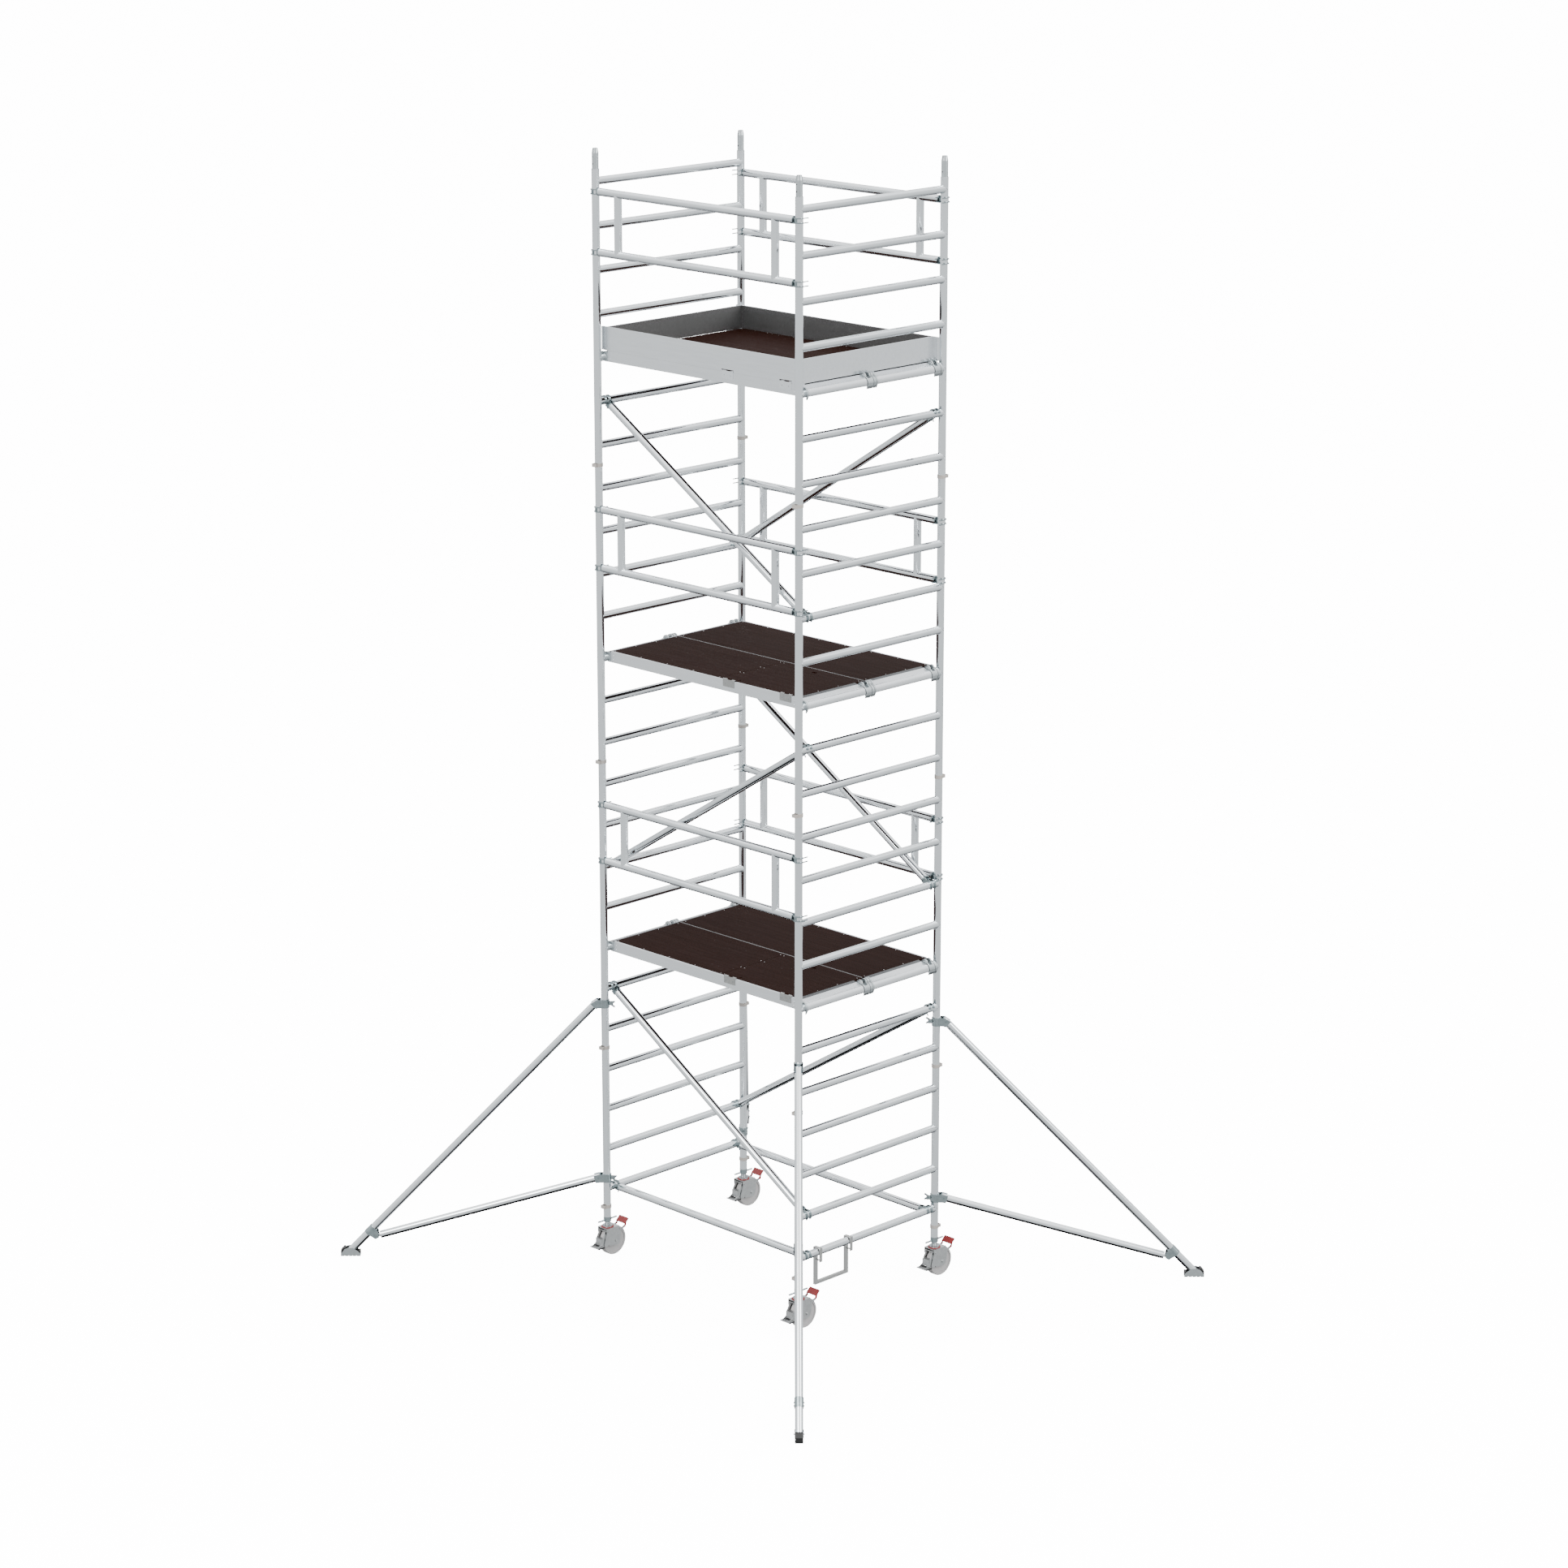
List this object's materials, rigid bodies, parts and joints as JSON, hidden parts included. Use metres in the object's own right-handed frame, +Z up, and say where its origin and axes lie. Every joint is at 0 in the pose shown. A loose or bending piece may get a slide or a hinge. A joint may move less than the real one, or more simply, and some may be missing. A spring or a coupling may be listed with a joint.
{
  "type": "mobile tower scaffold",
  "caption": "Tall rolling access tower of ladder frames with braces, hatch platforms, guardrails, toe boards, height-adjustable castors and swing-out outriggers.",
  "frame": {"origin": "on the floor, at the centre of the tower in plan", "axes": "+Z up, +X along the platforms, +Y along the rungs of the end frames"},
  "size_m": [4.3706, 3.8456, 7.4067],
  "materials": {
    "tube": "drawn tube, bright",
    "extrusion": "mill finish, satin",
    "cast": "cast, slightly rough",
    "zinc_steel": "zinc plated",
    "deck_ply": "phenolic film faced plywood",
    "clip_plastic": "moulded",
    "fork_steel": "pressed, zinc plated",
    "wheel_plastic": "moulded",
    "lever_red": "gloss paint",
    "pedal_steel": "pressed, zinc plated",
    "foot_rubber": "moulded rubber between plated plates"
  },
  "bodies": {
    "tower": {"end_frame_left_base": "tube", "end_frame_left_lower": "tube", "end_frame_left_middle": "tube", "end_frame_left_top": "tube", "end_frame_right_base": "tube", "end_frame_right_lower": "tube", "end_frame_right_middle": "tube", "end_frame_right_top": "tube", "spigots": "cast", "locking_clips": "clip_plastic", "brace_tubes": "tube", "brace_hooks": "zinc_steel", "guardrails": "tube", "guardrail_claws": "cast", "platform_side_beams": "extrusion", "platform_end_profiles": "extrusion", "platform_claws": "cast", "decks": "deck_ply", "hatch_hinges": "zinc_steel", "toe_boards": "extrusion", "access_stirrup": "zinc_steel"},
    "hatch_lower": {"hatch_lower": "deck_ply"},
    "hatch_middle": {"hatch_middle": "deck_ply"},
    "hatch_top": {"hatch_top": "deck_ply"},
    "castor_front_spindle": {"castor_front_spindle": "zinc_steel"},
    "castor_front_spindle_nut": {"castor_front_spindle_nut": "zinc_steel"},
    "castor_front_fork": {"castor_front_fork": "fork_steel"},
    "castor_front_wheel": {"castor_front_wheel": "wheel_plastic"},
    "castor_front_brake_pedal": {"castor_front_brake_pedal": "pedal_steel"},
    "castor_front_release_lever": {"castor_front_release_lever": "lever_red"},
    "castor_right_spindle": {"castor_right_spindle": "zinc_steel"},
    "castor_right_spindle_nut": {"castor_right_spindle_nut": "zinc_steel"},
    "castor_right_fork": {"castor_right_fork": "fork_steel"},
    "castor_right_wheel": {"castor_right_wheel": "wheel_plastic"},
    "castor_right_brake_pedal": {"castor_right_brake_pedal": "pedal_steel"},
    "castor_right_release_lever": {"castor_right_release_lever": "lever_red"},
    "castor_left_spindle": {"castor_left_spindle": "zinc_steel"},
    "castor_left_spindle_nut": {"castor_left_spindle_nut": "zinc_steel"},
    "castor_left_fork": {"castor_left_fork": "fork_steel"},
    "castor_left_wheel": {"castor_left_wheel": "wheel_plastic"},
    "castor_left_brake_pedal": {"castor_left_brake_pedal": "pedal_steel"},
    "castor_left_release_lever": {"castor_left_release_lever": "lever_red"},
    "castor_back_spindle": {"castor_back_spindle": "zinc_steel"},
    "castor_back_spindle_nut": {"castor_back_spindle_nut": "zinc_steel"},
    "castor_back_fork": {"castor_back_fork": "fork_steel"},
    "castor_back_wheel": {"castor_back_wheel": "wheel_plastic"},
    "castor_back_brake_pedal": {"castor_back_brake_pedal": "pedal_steel"},
    "castor_back_release_lever": {"castor_back_release_lever": "lever_red"},
    "outrigger_front": {"outrigger_front_tubes": "tube", "outrigger_front_clamps": "zinc_steel"},
    "outrigger_front_foot": {"outrigger_front_foot": "foot_rubber"},
    "outrigger_right": {"outrigger_right_tubes": "tube", "outrigger_right_clamps": "zinc_steel"},
    "outrigger_right_foot": {"outrigger_right_foot": "foot_rubber"},
    "outrigger_left": {"outrigger_left_tubes": "tube", "outrigger_left_clamps": "zinc_steel"},
    "outrigger_left_foot": {"outrigger_left_foot": "foot_rubber"},
    "outrigger_back": {"outrigger_back_tubes": "tube", "outrigger_back_clamps": "zinc_steel"},
    "outrigger_back_foot": {"outrigger_back_foot": "foot_rubber"}
  },
  "joints": [
    {"name": "hatch_lower_hinge", "type": "hinge", "parent": "tower", "child": "hatch_lower", "pos_m": [0.4975, -0.5905, 2.2153], "axis": [1, 0, 0], "range_deg": [0, 85]},
    {"name": "hatch_middle_hinge", "type": "hinge", "parent": "tower", "child": "hatch_middle", "pos_m": [0.4975, -0.5905, 4.1753], "axis": [1, 0, 0], "range_deg": [0, 85]},
    {"name": "hatch_top_hinge", "type": "hinge", "parent": "tower", "child": "hatch_top", "pos_m": [0.4975, -0.5905, 6.1353], "axis": [1, 0, 0], "range_deg": [0, 78]},
    {"name": "castor_front_nut_spin", "type": "hinge", "parent": "tower", "child": "castor_front_spindle_nut", "pos_m": [0.9, -0.6375, 0.26], "axis": [0, 0, 1], "range_deg": [0, 9000]},
    {"name": "castor_front_spindle_slide", "type": "slide", "parent": "tower", "child": "castor_front_spindle", "axis": [0, 0, -1], "range_m": [0, 0.2001]},
    {"name": "castor_front_swivel", "type": "hinge", "parent": "castor_front_spindle", "child": "castor_front_fork", "pos_m": [0.9, -0.6375, 0.208], "axis": [0, 0, 1], "continuous": true},
    {"name": "castor_front_wheel_spin", "type": "hinge", "parent": "castor_front_fork", "child": "castor_front_wheel", "pos_m": [0.9, -0.5925, 0.1], "axis": [1, 0, 0], "continuous": true},
    {"name": "castor_front_pedal_tilt", "type": "hinge", "parent": "castor_front_fork", "child": "castor_front_brake_pedal", "pos_m": [0.9, -0.6735, 0.184], "axis": [1, 0, 0], "range_deg": [-15, 0]},
    {"name": "castor_front_lever_tilt", "type": "hinge", "parent": "castor_front_fork", "child": "castor_front_release_lever", "pos_m": [0.9, -0.5595, 0.172], "axis": [1, 0, 0], "range_deg": [-15.01, 0]},
    {"name": "castor_right_nut_spin", "type": "hinge", "parent": "tower", "child": "castor_right_spindle_nut", "pos_m": [0.9, 0.6375, 0.26], "axis": [0, 0, 1], "range_deg": [0, 9000]},
    {"name": "castor_right_spindle_slide", "type": "slide", "parent": "tower", "child": "castor_right_spindle", "axis": [0, 0, -1], "range_m": [0, 0.2001]},
    {"name": "castor_right_swivel", "type": "hinge", "parent": "castor_right_spindle", "child": "castor_right_fork", "pos_m": [0.9, 0.6375, 0.208], "axis": [0, 0, 1], "continuous": true},
    {"name": "castor_right_wheel_spin", "type": "hinge", "parent": "castor_right_fork", "child": "castor_right_wheel", "pos_m": [0.9, 0.6825, 0.1], "axis": [1, 0, 0], "continuous": true},
    {"name": "castor_right_pedal_tilt", "type": "hinge", "parent": "castor_right_fork", "child": "castor_right_brake_pedal", "pos_m": [0.9, 0.6015, 0.184], "axis": [1, 0, 0], "range_deg": [-15, 0]},
    {"name": "castor_right_lever_tilt", "type": "hinge", "parent": "castor_right_fork", "child": "castor_right_release_lever", "pos_m": [0.9, 0.7155, 0.172], "axis": [1, 0, 0], "range_deg": [-15.01, 0]},
    {"name": "castor_left_nut_spin", "type": "hinge", "parent": "tower", "child": "castor_left_spindle_nut", "pos_m": [-0.9, -0.6375, 0.26], "axis": [0, 0, 1], "range_deg": [0, 9000]},
    {"name": "castor_left_spindle_slide", "type": "slide", "parent": "tower", "child": "castor_left_spindle", "axis": [0, 0, -1], "range_m": [0, 0.2001]},
    {"name": "castor_left_swivel", "type": "hinge", "parent": "castor_left_spindle", "child": "castor_left_fork", "pos_m": [-0.9, -0.6375, 0.208], "axis": [0, 0, 1], "continuous": true},
    {"name": "castor_left_wheel_spin", "type": "hinge", "parent": "castor_left_fork", "child": "castor_left_wheel", "pos_m": [-0.9, -0.5925, 0.1], "axis": [1, 0, 0], "continuous": true},
    {"name": "castor_left_pedal_tilt", "type": "hinge", "parent": "castor_left_fork", "child": "castor_left_brake_pedal", "pos_m": [-0.9, -0.6735, 0.184], "axis": [1, 0, 0], "range_deg": [-15, 0]},
    {"name": "castor_left_lever_tilt", "type": "hinge", "parent": "castor_left_fork", "child": "castor_left_release_lever", "pos_m": [-0.9, -0.5595, 0.172], "axis": [1, 0, 0], "range_deg": [-15.01, 0]},
    {"name": "castor_back_nut_spin", "type": "hinge", "parent": "tower", "child": "castor_back_spindle_nut", "pos_m": [-0.9, 0.6375, 0.26], "axis": [0, 0, 1], "range_deg": [0, 9000]},
    {"name": "castor_back_spindle_slide", "type": "slide", "parent": "tower", "child": "castor_back_spindle", "axis": [0, 0, -1], "range_m": [0, 0.2001]},
    {"name": "castor_back_swivel", "type": "hinge", "parent": "castor_back_spindle", "child": "castor_back_fork", "pos_m": [-0.9, 0.6375, 0.208], "axis": [0, 0, 1], "continuous": true},
    {"name": "castor_back_wheel_spin", "type": "hinge", "parent": "castor_back_fork", "child": "castor_back_wheel", "pos_m": [-0.9, 0.6825, 0.1], "axis": [1, 0, 0], "continuous": true},
    {"name": "castor_back_pedal_tilt", "type": "hinge", "parent": "castor_back_fork", "child": "castor_back_brake_pedal", "pos_m": [-0.9, 0.6015, 0.184], "axis": [1, 0, 0], "range_deg": [-15, 0]},
    {"name": "castor_back_lever_tilt", "type": "hinge", "parent": "castor_back_fork", "child": "castor_back_release_lever", "pos_m": [-0.9, 0.7155, 0.172], "axis": [1, 0, 0], "range_deg": [-15.01, 0]},
    {"name": "outrigger_front_swing", "type": "hinge", "parent": "tower", "child": "outrigger_front", "pos_m": [0.9, -0.6375, 0.553], "axis": [0, 0, 1], "range_deg": [-45, 45]},
    {"name": "outrigger_front_foot_tilt", "type": "hinge", "parent": "outrigger_front", "child": "outrigger_front_foot", "pos_m": [2.11835, -1.85584, 0.033], "axis": [0.7071, 0.7071, 0], "range_deg": [-12, 12]},
    {"name": "outrigger_right_swing", "type": "hinge", "parent": "tower", "child": "outrigger_right", "pos_m": [0.9, 0.6375, 0.553], "axis": [0, 0, 1], "range_deg": [-45, 45]},
    {"name": "outrigger_right_foot_tilt", "type": "hinge", "parent": "outrigger_right", "child": "outrigger_right_foot", "pos_m": [2.11835, 1.85584, 0.033], "axis": [-0.7071, 0.7071, 0], "range_deg": [-12, 12]},
    {"name": "outrigger_left_swing", "type": "hinge", "parent": "tower", "child": "outrigger_left", "pos_m": [-0.9, -0.6375, 0.553], "axis": [0, 0, 1], "range_deg": [-45, 45]},
    {"name": "outrigger_left_foot_tilt", "type": "hinge", "parent": "outrigger_left", "child": "outrigger_left_foot", "pos_m": [-2.11835, -1.85584, 0.033], "axis": [0.7071, -0.7071, 0], "range_deg": [-12, 12]},
    {"name": "outrigger_back_swing", "type": "hinge", "parent": "tower", "child": "outrigger_back", "pos_m": [-0.9, 0.6375, 0.553], "axis": [0, 0, 1], "range_deg": [-45, 45]},
    {"name": "outrigger_back_foot_tilt", "type": "hinge", "parent": "outrigger_back", "child": "outrigger_back_foot", "pos_m": [-2.11835, 1.85584, 0.033], "axis": [-0.7071, -0.7071, 0], "range_deg": [-12, 12]}
  ],
  "couplings": [
    {"joint": "castor_front_spindle_slide", "follows": "castor_front_nut_spin", "m_per_rad": 0.0012732},
    {"joint": "castor_front_lever_tilt", "follows": "castor_front_pedal_tilt", "ratio": 1},
    {"joint": "castor_right_spindle_slide", "follows": "castor_right_nut_spin", "m_per_rad": 0.0012732},
    {"joint": "castor_right_lever_tilt", "follows": "castor_right_pedal_tilt", "ratio": 1},
    {"joint": "castor_left_spindle_slide", "follows": "castor_left_nut_spin", "m_per_rad": 0.0012732},
    {"joint": "castor_left_lever_tilt", "follows": "castor_left_pedal_tilt", "ratio": 1},
    {"joint": "castor_back_spindle_slide", "follows": "castor_back_nut_spin", "m_per_rad": 0.0012732},
    {"joint": "castor_back_lever_tilt", "follows": "castor_back_pedal_tilt", "ratio": 1}
  ]
}
